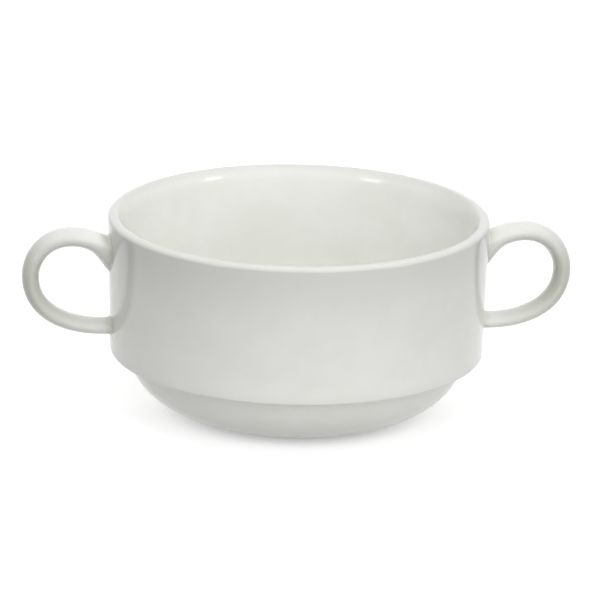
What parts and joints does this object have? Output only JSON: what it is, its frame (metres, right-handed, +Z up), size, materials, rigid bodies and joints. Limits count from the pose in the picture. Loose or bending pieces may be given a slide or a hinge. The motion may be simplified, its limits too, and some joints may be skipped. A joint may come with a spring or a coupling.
{
  "type": "consomme bowl",
  "caption": "Round stacking consomme bowl in glazed white porcelain with a straight wall, a stacking ledge over a rounded lower bowl, a low foot ring and looped strap handles at the sides.",
  "frame": {"origin": "centre of the foot ring's standing face, on the table", "axes": "+Z up along the bowl's axis, +X out along the right handle, +Y to the back of the picture"},
  "size_m": [0.1524, 0.105, 0.0556],
  "materials": {
    "glazed_porcelain": "smooth glossy clear glaze over white porcelain, bare on the ground standing face of the foot ring",
    "glazed_slip": "porcelain slip wiped into a fillet and fired under the same clear glaze"
  },
  "bodies": {
    "root": {"bowl_body": "glazed_porcelain", "left_handle": "glazed_porcelain", "right_handle": "glazed_porcelain", "left_upper_slip_joint": "glazed_slip", "left_lower_slip_joint": "glazed_slip", "right_upper_slip_joint": "glazed_slip", "right_lower_slip_joint": "glazed_slip"}
  },
  "joints": []
}
